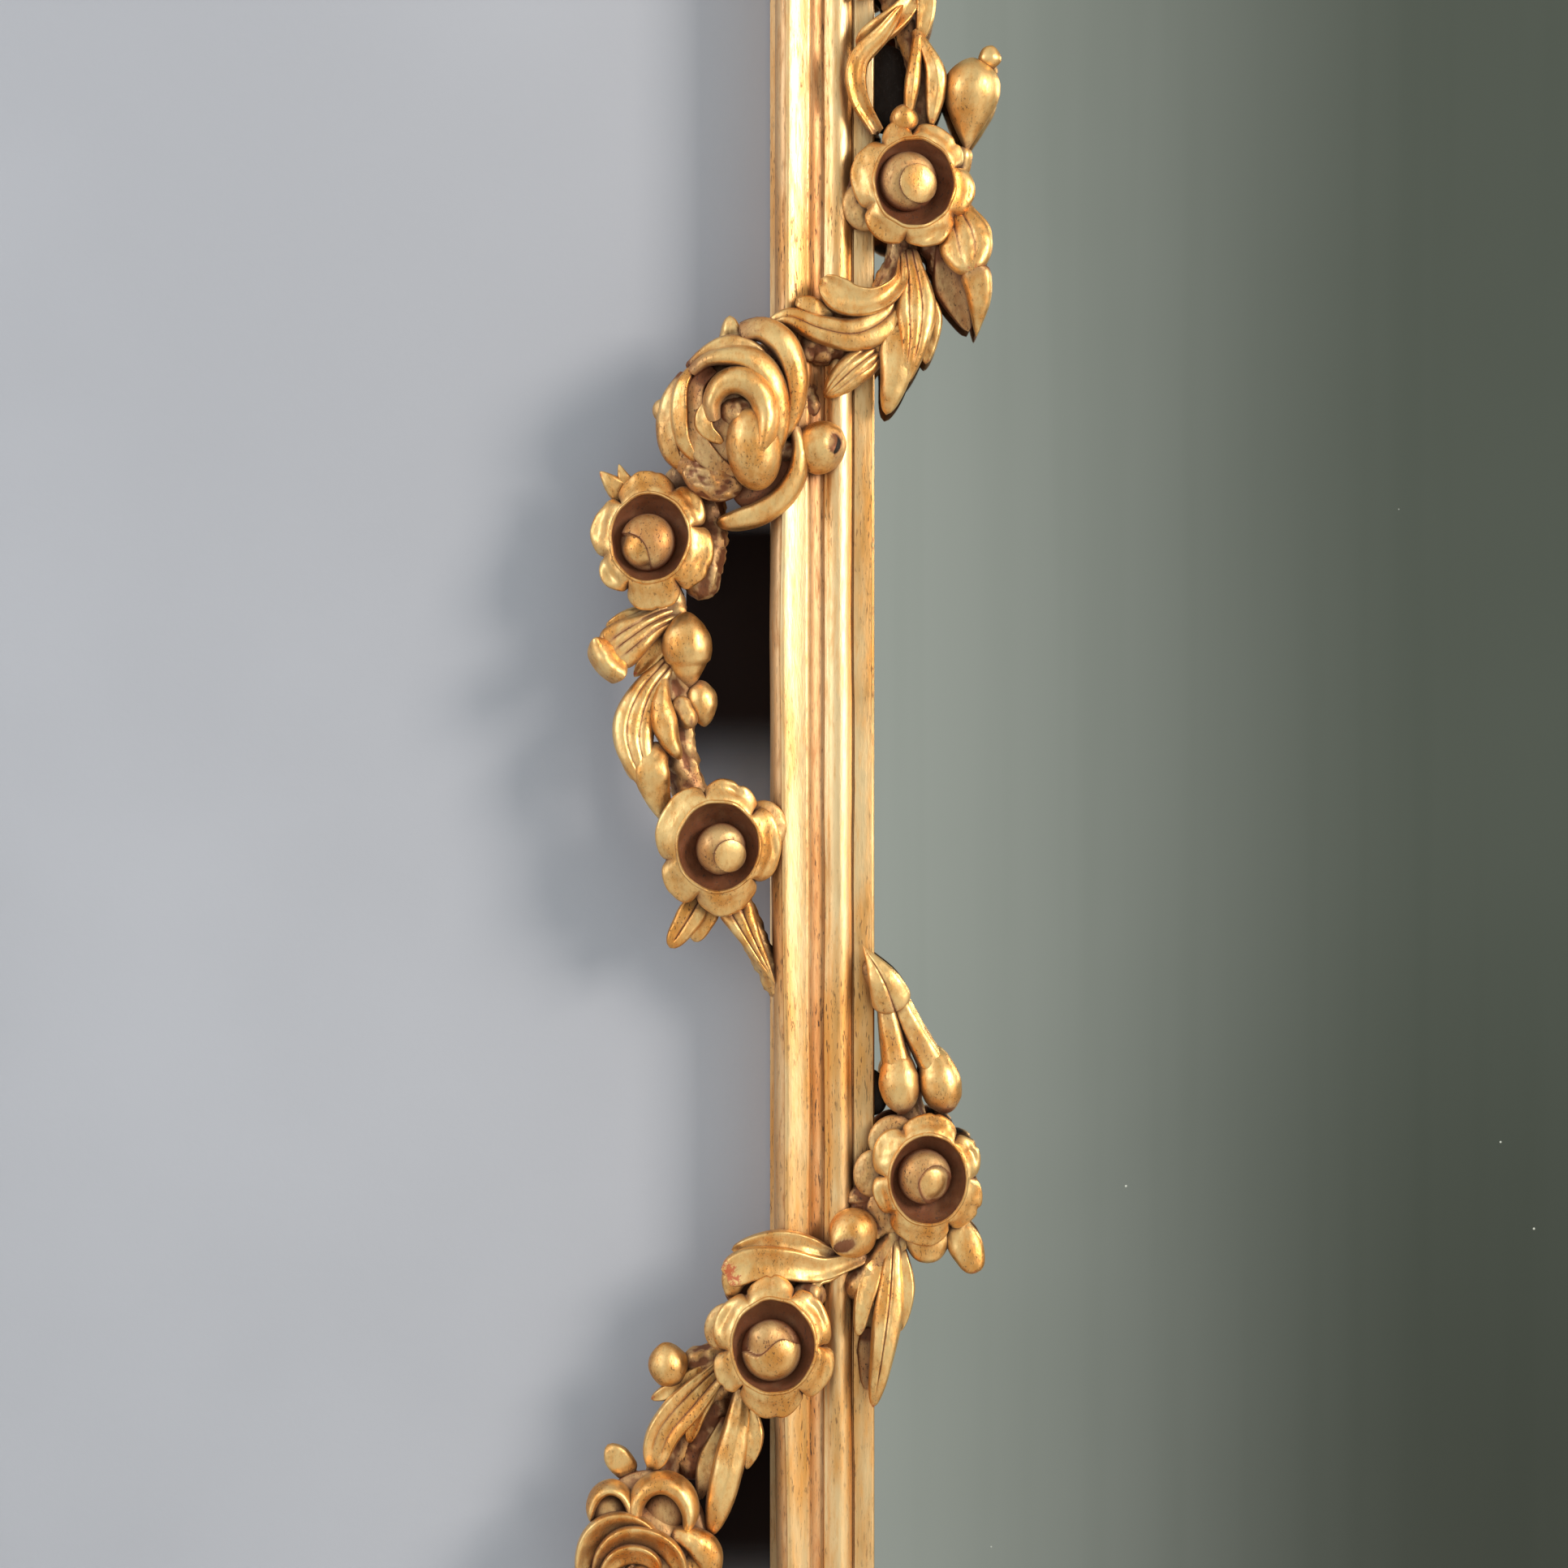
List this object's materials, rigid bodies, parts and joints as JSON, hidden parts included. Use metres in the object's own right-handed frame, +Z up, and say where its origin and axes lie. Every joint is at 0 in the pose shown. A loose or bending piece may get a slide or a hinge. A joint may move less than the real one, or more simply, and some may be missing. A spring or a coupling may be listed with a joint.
{
  "type": "pier mirror",
  "caption": "Tall wall mirror in a mitred giltwood moulding, wound with carved garlands of cupped flowers, roses, buds and acanthus leaves, with a carved crest and foot",
  "frame": {"origin": "middle of the backboards' rear face, which lies on the wall", "axes": "+X to the viewer's right, +Y into the wall, +Z up"},
  "size_m": [1.0262, 0.0745, 1.688],
  "materials": {
    "gilt_limewood": "water-gilt limewood over red bole, burnished on the high places and toned in the hollows",
    "mirror_glass": "old silvered plate glass with a polished face",
    "pine_boards": "planed, aged and unfinished pine",
    "key_hardwood": "sawn hardwood, glued in",
    "plate_brass": "cut from rolled sheet, dulled with age",
    "screw_steel": "turned steel, darkened"
  },
  "bodies": {
    "root": {"backboard_1": "pine_boards", "backboard_2": "pine_boards", "backboard_3": "pine_boards", "crest_branch": "gilt_limewood", "crest_rose": "gilt_limewood", "foot_branch": "gilt_limewood", "foot_rose": "gilt_limewood", "garland_lower_left_branch": "gilt_limewood", "garland_lower_left_flower_1": "gilt_limewood", "garland_lower_left_flower_2": "gilt_limewood", "garland_lower_left_rose": "gilt_limewood", "garland_lower_right_branch": "gilt_limewood", "garland_lower_right_flower_1": "gilt_limewood", "garland_lower_right_flower_2": "gilt_limewood", "garland_lower_right_rose": "gilt_limewood", "garland_upper_left_branch": "gilt_limewood", "garland_upper_left_flower_1": "gilt_limewood", "garland_upper_left_flower_2": "gilt_limewood", "garland_upper_left_rose": "gilt_limewood", "garland_upper_right_branch": "gilt_limewood", "garland_upper_right_flower_1": "gilt_limewood", "garland_upper_right_flower_2": "gilt_limewood", "garland_upper_right_rose": "gilt_limewood", "mirror_plate": "mirror_glass", "mitre_key_bottom_left": "key_hardwood", "mitre_key_bottom_right": "key_hardwood", "mitre_key_top_left": "key_hardwood", "mitre_key_top_right": "key_hardwood", "plate_screw_left_1": "screw_steel", "plate_screw_left_2": "screw_steel", "plate_screw_right_1": "screw_steel", "plate_screw_right_2": "screw_steel", "rail_bottom": "gilt_limewood", "rail_top": "gilt_limewood", "spray_lower_left_branch": "gilt_limewood", "spray_lower_left_flower": "gilt_limewood", "spray_lower_right_branch": "gilt_limewood", "spray_lower_right_flower": "gilt_limewood", "spray_upper_left_branch": "gilt_limewood", "spray_upper_left_flower": "gilt_limewood", "spray_upper_right_branch": "gilt_limewood", "spray_upper_right_flower": "gilt_limewood", "stile_left": "gilt_limewood", "stile_right": "gilt_limewood", "wall_plate_left": "plate_brass", "wall_plate_right": "plate_brass"}
  },
  "joints": []
}
